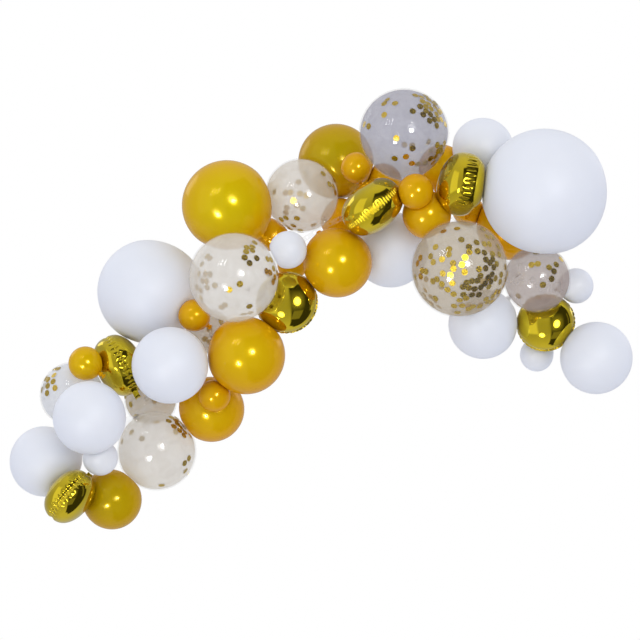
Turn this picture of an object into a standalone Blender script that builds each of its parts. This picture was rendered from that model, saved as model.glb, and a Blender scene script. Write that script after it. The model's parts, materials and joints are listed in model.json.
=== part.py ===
"""Balloon garland: an arch of latex, confetti and foil balloons tied along one clear plastic strip.

Every balloon is a named solid. The layout says where each one sits across the arch, how big it is and
which layer it lies in. A short settling loop then finds how far forward or back each one comes to rest,
and every skin is pressed flat where it meets a neighbour. Run with blender --background --python part.py.
"""
import math
from collections import namedtuple

import bmesh
import bpy
from mathutils import Quaternion, Vector

# ---------------------------------------------------------------- driving dimensions, in metres
OBJECT_NAME = "balloon_garland"

STRIP_WIDTH = 0.016
STRIP_THICKNESS = 0.002
STRIP_SAMPLES = 3            # straight pieces between two points of the route

TOUCH_GAP = 0.0004           # left between two skins that press on each other
PRESS = 0.94                # centres settle at this share of the two radii together
STRIP_CLEARANCE = 0.030      # from a skin to the middle of the strip, where the neck and knot go
DRIFT = 0.005                # how far a balloon may settle sideways from its place in the layout
NEIGHBOUR_MARGIN = 0.02      # balloons further apart than this across the arch never meet
SETTLE_STEPS = 500
STRIP_CHECK_STEPS = 10       # steps between two looks at where the strip is nearest
SETTLE_RATE = 0.35
GATHER_RATE = 0.030          # pull of every balloon towards the plane of the strip
DRAW_RATE = 0.30             # pull of a loose balloon towards the neighbour that is nearest to it
LAYER_STEP = 0.06            # starting distance between two layers
MIDDLE_LAYER = 2             # layers up to this one start in front of the strip

NECK_BASE_LENGTH = 0.012     # the longest neck on the smallest balloon
NECK_SHARE = 0.14            # and what it gains with its balloon's radius
NECK_MARGIN = 0.09           # balloons this far apart still bound each other's necks
NECK_END_CLEARANCE = 0.009   # from the knot to the middle of the strip
NECK_SWING = 70              # degrees that a neck may lean away from the strip to clear its neighbours
NECK_SWING_STEP = 10
NECK_SPIN_STEP = 30
BODY_TAPER = 0.06            # how much longer the neck half of a balloon is than its crown half
BODY_NARROWING = 0.10        # how much slimmer the neck half gets than a ball
NECK_RADIUS = 0.0045
KNOT_RADIUS = 0.0085
KNOT_LENGTH = 0.010

FOIL_PLUMPNESS = 0.74        # thickness of a foil balloon over its width
FOIL_SEAM = 0.008            # width of the flat seam round a foil balloon
FOIL_SEAM_THICKNESS = 0.0015
FOIL_TAB = 0.022             # how far the filling tab stands out past the seam
FOIL_FULLNESS = 0.8          # below 1 the faces stay plump nearer to the seam
FOIL_SIDES = 16
FOIL_RINGS = 3               # rings on each face of a foil balloon
RIM_FACE_SLOPE = 0.5         # faces steeper than this to the balloon's axis are the seam's outer edge

FACETS = ((0.12, 10, 5), (0.16, 10, 6), (0.26, 12, 6), (0.50, 14, 9))    # widest balloon, its sides and rings
MERGE_DISTANCE = 1e-5

Latex = namedtuple("Latex", "name finish x z width layer")
Foil = namedtuple("Foil", "name x z width layer seam_turn facing")

# Across the arch: x to the right of the hanging point, z above it, the widest measure of each balloon and
# its layer, from 0 at the front to 5 at the back.
LATEX = (
    Latex("white_balloon_big_right", "white", 0.435, 0.030, 0.385, 0),
    Latex("white_balloon_top_right", "white", 0.255, 0.170, 0.190, 3),
    Latex("white_balloon_big_left", "white", -0.775, -0.270, 0.325, 3),
    Latex("white_balloon_mid_left", "white", -0.705, -0.495, 0.235, 0),
    Latex("white_balloon_left_front", "white", -0.950, -0.660, 0.225, 0),
    Latex("white_balloon_left_end", "white", -1.100, -0.800, 0.220, 4),
    Latex("white_balloon_centre", "white", -0.025, -0.135, 0.235, 3),
    Latex("white_balloon_mid_right", "white", 0.255, -0.365, 0.215, 2),
    Latex("white_balloon_right_end", "white", 0.600, -0.470, 0.225, 2),
    Latex("mini_white_balloon_centre", "white", -0.350, -0.145, 0.115, 0),
    Latex("mini_white_balloon_left", "white", -0.925, -0.775, 0.110, 2),
    Latex("mini_white_balloon_right", "white", 0.540, -0.250, 0.110, 3),
    Latex("mini_white_balloon_low_right", "white", 0.430, -0.460, 0.105, 4),
    Latex("gold_balloon_top_left", "gold", -0.535, 0.000, 0.280, 3),
    Latex("gold_balloon_top", "gold", -0.200, 0.140, 0.240, 4),
    Latex("gold_balloon_centre", "gold", -0.195, -0.180, 0.215, 1),
    Latex("gold_balloon_mid_left", "gold", -0.475, -0.465, 0.240, 2),
    Latex("gold_balloon_low_left", "gold", -0.585, -0.630, 0.205, 3),
    Latex("gold_balloon_left_end", "gold", -0.900, -0.915, 0.185, 5),
    Latex("gold_balloon_crown", "gold", 0.080, -0.028, 0.150, 2),
    Latex("gold_balloon_back_right", "gold", 0.345, -0.060, 0.215, 4),
    Latex("gold_balloon_back_top", "gold", 0.130, 0.124, 0.145, 5),
    Latex("gold_balloon_back_crown", "gold", -0.053, 0.082, 0.120, 5),
    Latex("gold_balloon_back_centre", "gold", -0.188, -0.035, 0.130, 5),
    Latex("mini_gold_balloon_mid_left", "gold", -0.640, -0.340, 0.100, 2),
    Latex("mini_gold_balloon_left", "gold", -0.970, -0.495, 0.105, 1),
    Latex("mini_gold_balloon_low_left", "gold", -0.575, -0.595, 0.100, 1),
    Latex("mini_gold_balloon_crown", "gold", 0.045, 0.030, 0.110, 0),
    Latex("mini_gold_balloon_top", "gold", -0.140, 0.115, 0.095, 2),
    Latex("mini_gold_balloon_back_left", "gold", -0.397, -0.085, 0.105, 5),
    Latex("mini_gold_balloon_back_low", "gold", -0.335, -0.183, 0.095, 5),
    Latex("mini_gold_balloon_back_right", "gold", 0.224, -0.014, 0.100, 5),
    Latex("confetti_balloon_top", "clear", 0.015, 0.215, 0.280, 3),
    Latex("confetti_balloon_mid_left", "clear", -0.505, -0.230, 0.280, 1),
    Latex("confetti_balloon_centre", "clear", -0.300, 0.035, 0.235, 3),
    Latex("confetti_balloon_front_right", "clear", 0.175, -0.195, 0.300, 0),
    Latex("confetti_balloon_right", "clear", 0.420, -0.235, 0.210, 1),
    Latex("confetti_balloon_left", "clear", -1.015, -0.585, 0.205, 3),
    Latex("confetti_balloon_low_left", "clear", -0.760, -0.760, 0.250, 4),
    Latex("confetti_balloon_back_mid", "clear", -0.600, -0.392, 0.150, 5),
    Latex("confetti_balloon_back_low", "clear", -0.782, -0.612, 0.170, 5),
)

# seam_turn is the slope of the seam in the arch's plane, in degrees from +X, and facing is how far the
# balloon's face is turned to the front: 0 shows its edge, 90 its full face.
FOILS = (
    Foil("foil_balloon_crown", -0.085, -0.010, 0.200, 1, 39, 5),
    Foil("foil_balloon_right", 0.180, 0.055, 0.195, 1, 75, 11),
    Foil("foil_balloon_centre", -0.355, -0.300, 0.195, 2, 45, 78),
    Foil("foil_balloon_low_right", 0.450, -0.360, 0.185, 2, 40, 70),
    Foil("foil_balloon_left", -0.876, -0.497, 0.195, 3, 118, 12),
    Foil("foil_balloon_left_end", -1.015, -0.895, 0.175, 2, 51, -8),
)

# The strip's route through the balloons, from its left end to its right one, through the hanging point.
ROUTE = (
    (-0.960, 0.000, -0.750), (-0.870, 0.000, -0.680), (-0.760, 0.000, -0.610), (-0.640, 0.000, -0.480),
    (-0.540, 0.000, -0.350), (-0.410, 0.000, -0.200), (-0.280, 0.000, -0.095), (-0.140, 0.000, -0.025),
    (0.000, 0.000, 0.000), (0.150, 0.000, -0.030), (0.290, 0.020, -0.130), (0.385, 0.070, -0.250),
    (0.440, 0.100, -0.330), (0.475, 0.100, -0.375), (0.510, 0.100, -0.415),
)

FINISHES = {
    "white": ((0.78, 0.80, 0.84, 1.0), 0.45, 0.0),
    "gold": ((0.60, 0.34, 0.01, 1.0), 0.35, 0.3),
    "clear": ((0.62, 0.61, 0.64, 1.0), 0.15, 0.0),
    "foil": ((0.60, 0.42, 0.05, 1.0), 0.12, 1.0),
    "strip": ((0.75, 0.77, 0.79, 1.0), 0.30, 0.0),
}


# ---------------------------------------------------------------- the strip's route

def smooth_route():
    """The strip's centre line as points on a smooth curve through the route."""
    ends = [Vector(point) for point in ROUTE]
    padded = [2 * ends[0] - ends[1]] + ends + [2 * ends[-1] - ends[-2]]
    line = []
    for first, start, end, last in zip(padded, padded[1:], padded[2:], padded[3:]):
        for step in range(STRIP_SAMPLES):
            t = step / STRIP_SAMPLES
            line.append(0.5 * (2 * start + (end - first) * t
                               + (2 * first - 5 * start + 4 * end - last) * t ** 2
                               + (3 * start - first - 3 * end + last) * t ** 3))
    line.append(ends[-1])
    return line


def nearest_on_line(place, line):
    """The point of the strip's centre line that is nearest to a place."""
    best, best_distance = None, math.inf
    for start, end in zip(line, line[1:]):
        run = end - start
        share = max(0.0, min(1.0, (place - start).dot(run) / run.length_squared))
        here = start + run * share
        if (place - here).length < best_distance:
            best, best_distance = here, (place - here).length
    return best


# ---------------------------------------------------------------- settling

def reach(balloon, axis, direction):
    """How far a balloon's skin is from its centre along a direction, before anything presses on it."""
    half_width = balloon.width / 2
    if axis is None:
        return half_width
    along = axis.dot(direction) ** 2
    return half_width * math.sqrt(1 - along + along * FOIL_PLUMPNESS ** 2)


def facing_axis(foil):
    """The direction that a foil balloon's full face is turned to."""
    turn = math.radians(foil.seam_turn)
    facing = math.radians(foil.facing)
    edge_on = Vector((-math.sin(turn), 0.0, math.cos(turn)))
    return (edge_on * math.cos(facing) + Vector((0.0, -1.0, 0.0)) * math.sin(facing)).normalized()


def settle(balloons, axes, line):
    """Centres of the balloons once they press on each other and on the strip, in the balloons' order."""
    homes = [Vector((b.x, 0.0, b.z)) for b in balloons]
    centres = [Vector((b.x, (b.layer - MIDDLE_LAYER - 0.5) * LAYER_STEP, b.z)) for b in balloons]
    pairs = [(i, j) for i in range(len(balloons)) for j in range(i + 1, len(balloons))
             if (homes[i] - homes[j]).length < (balloons[i].width + balloons[j].width) / 2 + NEIGHBOUR_MARGIN]
    for step in range(SETTLE_STEPS):
        if step % STRIP_CHECK_STEPS == 0:
            near = [nearest_on_line(centre, line) for centre in centres]
        nearest = [(math.inf, 0.0)] * len(balloons)
        for i, j in pairs:
            gap = part_pair(balloons, axes, centres, i, j)
            nearest[i] = min(nearest[i], (gap, centres[j].y))
            nearest[j] = min(nearest[j], (gap, centres[i].y))
        for balloon, axis, home, strip_point, centre, (gap, other_y) in zip(
                balloons, axes, homes, near, centres, nearest):
            centre.y *= 1 - GATHER_RATE
            if gap > 0:
                centre.y += max(-gap, min(gap, other_y - centre.y)) * DRAW_RATE
            keep = reach(balloon, axis, (strip_point - centre).normalized()) + STRIP_CLEARANCE
            across = math.hypot(centre.x - strip_point.x, centre.z - strip_point.z)
            depth = math.sqrt(max(keep ** 2 - across ** 2, 0.0))
            if abs(centre.y - strip_point.y) < depth:
                side = -1 if balloon.layer <= MIDDLE_LAYER else 1
                centre.y = strip_point.y + side * depth
            drift = math.hypot(centre.x - home.x, centre.z - home.z)
            if drift > DRIFT:
                centre.x = home.x + (centre.x - home.x) * DRIFT / drift
                centre.z = home.z + (centre.z - home.z) * DRIFT / drift
    return centres


def part_pair(balloons, axes, centres, i, j):
    """Push two balloons apart, mostly in depth and in the order of their layers, if they press too hard.

    Gives back the gap that is left between them, which is negative where they press.
    """
    apart = centres[j] - centres[i]
    toward = apart.normalized()
    want = PRESS * (reach(balloons[i], axes[i], toward) + reach(balloons[j], axes[j], toward))
    if apart.length >= want:
        return apart.length - want
    across = math.hypot(apart.x, apart.z)
    layers = balloons[j].layer - balloons[i].layer
    order = 1 if layers > 0 or (layers == 0 and apart.y >= 0) else -1
    depth = math.sqrt(max(want ** 2 - across ** 2, 0.0))
    push = (depth - apart.y * order) * SETTLE_RATE / 2
    if push > 0:
        centres[i].y -= order * push
        centres[j].y += order * push
    slide = Vector((apart.x, 0.0, apart.z)) / across * (want - apart.length) * SETTLE_RATE / 2
    centres[i] -= slide
    centres[j] += slide
    return apart.length - want


def contact_planes(index, balloons, axes, centres):
    """The planes that bound one balloon, each a direction and a distance from its centre."""
    planes = []
    for other, balloon in enumerate(balloons):
        apart = centres[other] - centres[index]
        if other == index or apart.length > (balloons[index].width + balloon.width) / 2 + NECK_MARGIN:
            continue
        toward = apart.normalized()
        own = reach(balloons[index], axes[index], toward)
        their = reach(balloon, axes[other], -toward)
        share = balloon.width / (balloons[index].width + balloon.width)
        pressed = own + their - apart.length
        planes.append((toward, own - pressed * share - TOUCH_GAP / 2))
    return planes


# ---------------------------------------------------------------- turned shapes

def area_scale(sides):
    """What a flat-sided ring is widened by, so that it encloses as much as the round one it stands for."""
    return math.sqrt(2 * math.pi / (sides * math.sin(2 * math.pi / sides)))


def latex_profile(radius, rings, stem):
    """A balloon's half outline from its crown down to its knot: each point a radius and a height."""
    last_angle = math.pi - math.asin(2 * NECK_RADIUS / radius)
    points = [(0.0, radius)]
    for ring in range(1, rings + 1):
        angle = last_angle * ring / rings
        low = max(0.0, angle / (math.pi / 2) - 1)
        points.append((radius * math.sin(angle) * (1 - BODY_NARROWING * low * (1 - low)),
                       radius * math.cos(angle) * (1 + BODY_TAPER * low ** 2)))
    end = -radius - stem
    points.append((NECK_RADIUS, end + KNOT_LENGTH))
    points.append((KNOT_RADIUS, end + KNOT_LENGTH / 2))
    points.append((0.0, end))
    return points


def foil_profile(half_width):
    """A foil balloon's half outline from pole to pole, with the flat seam standing out at its widest."""
    body = half_width - FOIL_SEAM
    upper = [(0.0, body * FOIL_PLUMPNESS)]
    for ring in range(1, FOIL_RINGS):
        angle = math.pi / 2 * ring / FOIL_RINGS
        upper.append((body * math.sin(angle), body * FOIL_PLUMPNESS * math.cos(angle) ** FOIL_FULLNESS))
    upper.append((body, FOIL_SEAM_THICKNESS / 2))
    upper.append((half_width, FOIL_SEAM_THICKNESS / 2))
    return upper + [(radius, -height) for radius, height in reversed(upper)]


def turn(mesh, profile, sides):
    """Turn a profile about Z into one closed skin."""
    widen = area_scale(sides)
    points = [mesh.verts.new((radius * widen, 0.0, height)) for radius, height in profile]
    edges = [mesh.edges.new(pair) for pair in zip(points, points[1:])]
    bmesh.ops.spin(mesh, geom=points + edges, cent=(0, 0, 0), axis=(0, 0, 1),
                   angle=2 * math.pi, steps=sides, use_merge=True)
    bmesh.ops.remove_doubles(mesh, verts=mesh.verts, dist=MERGE_DISTANCE)
    bmesh.ops.recalc_face_normals(mesh, faces=mesh.faces)


def press(mesh, planes):
    """Pull every point of a skin back to the planes that its neighbours press it to."""
    for vert in mesh.verts:
        for toward, distance in planes:
            beyond = vert.co.dot(toward)
            if beyond > distance:
                vert.co *= distance / beyond


def neck_direction(wanted, length, planes):
    """The direction closest to the wanted one in which a neck and its knot are clear of the neighbours."""
    side = wanted.orthogonal().normalized()
    best, best_room = wanted, -math.inf
    for tilt in range(0, NECK_SWING + 1, NECK_SWING_STEP):
        for spin in range(0, 360, NECK_SPIN_STEP):
            swung = Quaternion(wanted, math.radians(spin)) @ side
            direction = Quaternion(swung, math.radians(tilt)) @ wanted
            room = min(distance - length * direction.dot(toward) for toward, distance in planes)
            if room > best_room + MERGE_DISTANCE:
                best, best_room = direction, room
            if best_room > KNOT_RADIUS:
                return best
    return best


# ---------------------------------------------------------------- the pieces

def add_object(collection, name, mesh, finish, centre):
    """Turn a bmesh into a named object with its finish, at its centre."""
    data = bpy.data.meshes.new(name)
    mesh.to_mesh(data)
    mesh.free()
    data.materials.append(material(finish))
    piece = bpy.data.objects.new(name, data)
    piece.location = centre
    collection.objects.link(piece)
    return piece


def material(finish):
    """The Principled material of a finish, made once."""
    found = bpy.data.materials.get(finish)
    if found:
        return found
    colour, roughness, metallic = FINISHES[finish]
    made = bpy.data.materials.new(finish)
    made.use_nodes = True
    shader = made.node_tree.nodes["Principled BSDF"]
    shader.inputs["Base Color"].default_value = colour
    shader.inputs["Roughness"].default_value = roughness
    shader.inputs["Metallic"].default_value = metallic
    return made


def add_latex(collection, balloon, centre, planes, line):
    """A latex balloon: an egg-shaped body with its neck and knot turned in to the strip."""
    radius = balloon.width / 2
    to_strip = nearest_on_line(centre, line) - centre
    stem = min(to_strip.length - radius - NECK_END_CLEARANCE, NECK_BASE_LENGTH + radius * NECK_SHARE)
    direction = neck_direction(to_strip.normalized(), radius + stem, planes)
    sides, rings = next((s, r) for widest, s, r in FACETS if balloon.width <= widest)
    mesh = bmesh.new()
    turn(mesh, latex_profile(radius, rings, stem), sides)
    upright = Vector((0.0, 0.0, -1.0)).rotation_difference(direction)
    bmesh.ops.rotate(mesh, verts=mesh.verts, matrix=upright.to_matrix())
    press(mesh, planes)
    return add_object(collection, balloon.name, mesh, balloon.finish, centre)


def add_foil(collection, foil, axis, centre, planes, line):
    """A round foil balloon: two domed faces, the flat seam round them and its filling tab."""
    half_width = foil.width / 2
    mesh = bmesh.new()
    turn(mesh, foil_profile(half_width), FOIL_SIDES)
    upright = Vector((0.0, 0.0, 1.0)).rotation_difference(axis)
    bmesh.ops.rotate(mesh, verts=mesh.verts, matrix=upright.to_matrix())
    to_strip = nearest_on_line(centre, line) - centre
    inward = (to_strip - axis * axis.dot(to_strip)).normalized()
    rim = [face for face in mesh.faces if abs(face.normal.dot(axis)) < RIM_FACE_SLOPE
           and face.calc_center_median().length > half_width - FOIL_SEAM / 2]
    root = max(rim, key=lambda face: face.normal.dot(inward))
    outward = root.normal * min(FOIL_TAB, to_strip.length - half_width - NECK_END_CLEARANCE)
    tab = bmesh.ops.extrude_face_region(mesh, geom=[root])["geom"]
    bmesh.ops.delete(mesh, geom=[root], context="FACES_ONLY")
    bmesh.ops.translate(mesh, verts=[v for v in tab if isinstance(v, bmesh.types.BMVert)], vec=outward)
    press(mesh, planes)
    return add_object(collection, foil.name, mesh, "foil", centre)


def add_strip(collection, line):
    """The clear tape that every neck is tied to, its flat side to the back of the arch."""
    curve = bpy.data.curves.new("garland_strip", "CURVE")
    curve.dimensions = "3D"
    curve.twist_mode = "Z_UP"
    curve.extrude = (STRIP_WIDTH - STRIP_THICKNESS) / 2
    curve.bevel_depth = STRIP_THICKNESS / 2
    curve.bevel_resolution = 0
    curve.use_fill_caps = True
    spline = curve.splines.new("POLY")
    spline.points.add(len(line) - 1)
    for point, place in zip(spline.points, line):
        point.co = (*place, 1.0)
    curve.materials.append(material("strip"))
    strip = bpy.data.objects.new("garland_strip", curve)
    collection.objects.link(strip)
    return strip


def build():
    """Clear the scene and build the whole garland, its hanging point at the origin."""
    for old in list(bpy.data.objects):
        bpy.data.objects.remove(old, do_unlink=True)
    collection = bpy.data.collections.new(OBJECT_NAME)
    bpy.context.scene.collection.children.link(collection)
    line = smooth_route()
    balloons = LATEX + FOILS
    axes = [None] * len(LATEX) + [facing_axis(foil) for foil in FOILS]
    centres = settle(balloons, axes, line)
    add_strip(collection, line)
    for index, (balloon, axis, centre) in enumerate(zip(balloons, axes, centres)):
        planes = contact_planes(index, balloons, axes, centres)
        if axis is None:
            add_latex(collection, balloon, centre, planes, line)
        else:
            add_foil(collection, balloon, axis, centre, planes, line)


build()
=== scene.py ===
"""The looks of a balloon garland: smooth latex, crimped foil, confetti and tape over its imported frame."""
import json
import logging
import math
import random
from dataclasses import dataclass, replace
from enum import Enum

import bmesh
import bpy
import numpy as np
from mathutils import Matrix, Vector, noise

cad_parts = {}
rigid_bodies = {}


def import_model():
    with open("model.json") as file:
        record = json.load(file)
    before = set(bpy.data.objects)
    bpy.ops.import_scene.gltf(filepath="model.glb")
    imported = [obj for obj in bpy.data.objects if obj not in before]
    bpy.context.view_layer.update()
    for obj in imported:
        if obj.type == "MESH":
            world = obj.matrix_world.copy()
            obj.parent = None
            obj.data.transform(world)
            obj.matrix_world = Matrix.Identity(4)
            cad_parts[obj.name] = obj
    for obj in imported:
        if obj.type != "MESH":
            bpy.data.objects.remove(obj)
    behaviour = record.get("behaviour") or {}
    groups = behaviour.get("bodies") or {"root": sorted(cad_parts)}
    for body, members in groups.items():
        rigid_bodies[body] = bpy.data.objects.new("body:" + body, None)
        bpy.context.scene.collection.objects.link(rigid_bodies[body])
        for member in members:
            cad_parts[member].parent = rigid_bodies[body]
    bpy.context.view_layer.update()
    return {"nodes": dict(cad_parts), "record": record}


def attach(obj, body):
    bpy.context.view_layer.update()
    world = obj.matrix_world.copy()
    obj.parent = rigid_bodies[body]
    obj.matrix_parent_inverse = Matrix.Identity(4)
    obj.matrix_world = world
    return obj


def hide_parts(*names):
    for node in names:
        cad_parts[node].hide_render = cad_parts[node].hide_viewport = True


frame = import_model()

log = logging.getLogger("garland")

MILLIMETRE = 0.001
TINY = 1e-9
MERGE_DISTANCE = 1e-6

# how near to a fitted shape a solid's corner counts as on it, the least length of an egg over its radius, and
# the least cosine at which a ray from a balloon's centre is held to meet a plane
CLOSE = 0.1 * MILLIMETRE
EGG_LENGTH = 1.85
LEAST_FACING = 0.05

Plane = tuple[Vector, float]
Profile = list[tuple[float, float]]
Mesh = bmesh.types.BMesh
Object = bpy.types.Object
Material = bpy.types.Material
Tree = bpy.types.NodeTree
Node = bpy.types.Node
Socket = bpy.types.NodeSocket
Inputs = dict[str | int, object]


class Slot(Enum):
    """The record's material slots."""

    WHITE = "white_latex"
    GOLD = "gold_latex"
    CLEAR = "clear_latex"
    FOIL = "gold_foil"
    STRIP = "clear_strip"


# ---------------------------------------------------------------- small shared tools

def linear(code: str) -> tuple[float, float, float, float]:
    """Turn an sRGB hex colour into linear light.

    Args:
        code: Six hex digits, such as "f2c40c".

    Returns:
        Red, green, blue and an alpha of 1.
    """
    shares = [int(code[start:start + 2], 16) / 255 for start in (0, 2, 4)]
    red, green, blue = [s / 12.92 if s <= 0.04045 else ((s + 0.055) / 1.055) ** 2.4 for s in shares]
    return red, green, blue, 1.0


def feed(tree: Tree, node: Node, inputs: Inputs) -> None:
    """Set a node's sockets.

    Args:
        tree: The node's tree.
        node: The node.
        inputs: Sockets by name or number, each with a value, or with the output or the node that feeds it. A
            node feeds it with the first output that it has in use.
    """
    for socket, value in inputs.items():
        if isinstance(value, Node):
            value = next(output for output in value.outputs if output.enabled)
        if isinstance(value, Socket):
            tree.links.new(value, node.inputs[socket])
        else:
            node.inputs[socket].default_value = value


def add_node(tree: Tree, kind: str, inputs: Inputs | None = None, **settings: object) -> Node:
    """Add a shader node with its settings and links.

    Args:
        tree: The node tree it goes in.
        kind: Blender's name for the node's type.
        inputs: Its sockets and what feeds them.
        settings: The node's own properties.

    Returns:
        The new node.
    """
    node = tree.nodes.new(kind)
    for name, value in settings.items():
        setattr(node, name, value)
    feed(tree, node, inputs or {})
    return node


def soft_least(first: float, second: float, ease: float) -> float:
    """The smaller of two numbers, rounded off where they are closer than ease."""
    near = max(ease - abs(first - second), 0.0)
    return min(first, second) - near * near / (4 * ease)


def smooth_step(low: float, high: float, value: float) -> float:
    """How far a value has gone from low to high, from 0 to 1 with soft ends."""
    share = max(0.0, min(1.0, (value - low) / (high - low)))
    return share * share * (3 - 2 * share)


def smooth_line(points: list[Vector], steps: int) -> list[Vector]:
    """Draw a smooth curve through points.

    Args:
        points: The points that the curve goes through.
        steps: How many pieces each stretch between two points is cut into.

    Returns:
        The points of the curve, with the first and last as given.
    """
    padded = [2 * points[0] - points[1]] + points + [2 * points[-1] - points[-2]]
    line = []
    for first, start, end, last in zip(padded, padded[1:], padded[2:], padded[3:]):
        for step in range(steps):
            t = step / steps
            line.append(0.5 * (2 * start + (end - first) * t
                               + (2 * first - 5 * start + 4 * end - last) * t ** 2
                               + (3 * start - first - 3 * end + last) * t ** 3))
    return line + [points[-1]]


def turned(profile: Profile, steps: int) -> Mesh:
    """Turn a half outline about Z into one closed skin.

    Args:
        profile: Points of a radius and a height, from pole to pole.
        steps: How many sides the skin gets.

    Returns:
        The new mesh, its poles and its seam closed.
    """
    mesh = bmesh.new()
    points = [mesh.verts.new((radius, 0.0, height)) for radius, height in profile]
    edges = [mesh.edges.new(pair) for pair in zip(points, points[1:])]
    bmesh.ops.spin(mesh, geom=points + edges, cent=(0, 0, 0), axis=(0, 0, 1),
                   angle=2 * math.pi, steps=steps, use_merge=True)
    bmesh.ops.remove_doubles(mesh, verts=mesh.verts, dist=MERGE_DISTANCE)
    bmesh.ops.recalc_face_normals(mesh, faces=mesh.faces)
    return mesh


def make_piece(mesh: Mesh, name: str, finish: "Finish", slot: Slot, *nodes: str) -> Object:
    """Turn a mesh into a piece of the garland.

    Args:
        mesh: The piece's mesh, in place. It is freed.
        name: The piece's name.
        finish: Its finish.
        slot: The record's slot that the finish stands for.
        nodes: The frame's nodes that the piece replaces.

    Returns:
        The new object, riding on the garland's one body.
    """
    data = bpy.data.meshes.new(name)
    mesh.to_mesh(data)
    mesh.free()
    data.shade_smooth()
    data.materials.append(finish.material())
    piece = bpy.data.objects.new(name, data)
    bpy.context.scene.collection.objects.link(piece)
    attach(piece, "root")
    if nodes:
        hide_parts(*nodes)
    log.info("%s: %d faces, %s", name, len(data.polygons), slot.value)
    return piece


# ---------------------------------------------------------------- finishes

@dataclass(frozen=True)
class Grain:
    """Soft noise of a real size, and the stretch of its levels over which one look goes over into another."""

    size_mm: float
    detail: float = 2.0
    rough: float = 0.5
    distortion: float = 0.0
    low: float = 0.0
    high: float = 1.0

    def lay(self, tree: Tree, place: Socket, start: float = 0.0, end: float = 1.0) -> Node:
        """Add the grain to a material.

        Args:
            tree: The material's nodes.
            place: Its Object coordinates.
            start: The value at the low level.
            end: The value at the high level.

        Returns:
            The node that gives the value.
        """
        speckle = add_node(tree, "ShaderNodeTexNoise", {
            "Vector": place, "Scale": 1 / (self.size_mm * MILLIMETRE), "Detail": self.detail,
            "Roughness": self.rough, "Distortion": self.distortion})
        return add_node(tree, "ShaderNodeMapRange", {"Value": speckle, "From Min": self.low,
                                                     "From Max": self.high, "To Min": start, "To Max": end})


@dataclass(frozen=True)
class Finish:
    """A finish: two colours clouded together, a dulling grain, relief, and plain values on the shader."""

    name: str
    body: str
    cloud: str
    clouds: Grain
    dulling: Grain
    roughness: tuple[float, float]
    plain: Inputs
    relief: Grain | None = None
    relief_strength: float = 0.0
    relief_depth: float = 0.0

    def material(self) -> Material:
        """Make the finish the first time it is asked for, its patterns on Object coordinates.

        Returns:
            Its material.
        """
        if self.name in bpy.data.materials:
            return bpy.data.materials[self.name]
        made = bpy.data.materials.new(self.name)
        made.use_nodes = True
        tree = made.node_tree
        place = add_node(tree, "ShaderNodeTexCoord").outputs["Object"]
        tint = add_node(tree, "ShaderNodeMix", {
            "Factor": self.clouds.lay(tree, place), "A": linear(self.body), "B": linear(self.cloud)},
            data_type="RGBA")
        looks = {"Base Color": tint, "Roughness": self.dulling.lay(tree, place, *self.roughness)} | self.plain
        if self.relief:
            looks["Normal"] = add_node(tree, "ShaderNodeBump", {
                "Height": self.relief.lay(tree, place), "Strength": self.relief_strength,
                "Distance": self.relief_depth})
        self.refine(tree, place, looks)
        feed(tree, tree.nodes["Principled BSDF"], looks)
        return made

    def refine(self, tree: Tree, place: Socket, looks: Inputs) -> None:
        """Change what feeds the shader, in a finish with more to it than clouds, dulling and relief.

        Args:
            tree: The material's nodes.
            place: Its Object coordinates.
            looks: The shader's sockets and what feeds them.
        """


@dataclass(frozen=True)
class Latex(Finish):
    """Dip-moulded natural rubber latex, blown up to a thin tight skin.

    The skin is thickest round the neck, so its colour is deepest there, and it is faintly clouded where the
    dip ran thick or thin. Seen at a slant, more of the skin lies in the way and its colour turns to the
    rim's, which also paints the shade and bounced light at its edge. Dusting powder dulls it in faint
    patches.
    """

    dense: str = ""
    deep_and_shaded_rim: str = ""
    slant_blend: float = 0.65

    def refine(self, tree: Tree, place: Socket, looks: Inputs) -> None:
        """Deepen the colour by the skin's thickness, which is its own attribute, and by its slant, which also
        paints shade at the rim.

        Args:
            tree: The material's nodes.
            place: Its Object coordinates, not used here.
            looks: The shader's sockets and what feeds them.
        """
        thick = add_node(tree, "ShaderNodeAttribute", attribute_name="thickness").outputs["Fac"]
        # the colour at a slant is partly deeper skin and partly painted shade at the rim
        slant = add_node(tree, "ShaderNodeLayerWeight", {"Blend": self.slant_blend}).outputs["Facing"]
        for share, colour in ((thick, self.dense), (slant, self.deep_and_shaded_rim)):
            looks["Base Color"] = add_node(tree, "ShaderNodeMix", {
                "Factor": share, "A": looks["Base Color"], "B": linear(colour)}, data_type="RGBA")


@dataclass(frozen=True)
class PaperSweep(Finish):
    """Matt white studio paper, which fades out at its edge."""

    fade_from: float = 2.4
    fade_to: float = 3.5

    def refine(self, tree: Tree, place: Socket, looks: Inputs) -> None:
        """Fade the paper out.

        Args:
            tree: The material's nodes.
            place: Its Object coordinates.
            looks: The shader's sockets and what feeds them.
        """
        flat = add_node(tree, "ShaderNodeVectorMath", {0: place, 1: (1.0, 1.0, 0.0)}, operation="MULTIPLY")
        away = add_node(tree, "ShaderNodeVectorMath", {0: flat}, operation="LENGTH")
        looks["Alpha"] = add_node(tree, "ShaderNodeMapRange", {
            "Value": away, "From Min": self.fade_from, "From Max": self.fade_to, "To Min": 1.0,
            "To Max": 0.0})


# satin natural rubber that lets a little light through; its real grain is far under a millimetre, and is
# drawn coarser so that it shows
LATEX_CLOUDS = Grain(70.0, 3.0, 0.55)
WHITE_LATEX = Latex(
    "natural_latex_white", "e7e9ef", "e1e4ea", LATEX_CLOUDS, LATEX_CLOUDS, (0.45, 0.55),
    {"IOR": 1.52, "Specular IOR Level": 0.3, "Subsurface Weight": 0.15, "Subsurface Radius": (1.0, 0.9, 0.8),
     "Subsurface Scale": 12 * MILLIMETRE},
    # its rim colour, a little darker and bluer, is painted shade at the edge
    Grain(2.5, 1.0), 0.06, 0.2 * MILLIMETRE, dense="dedcd8", deep_and_shaded_rim="e2e5ee")
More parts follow.
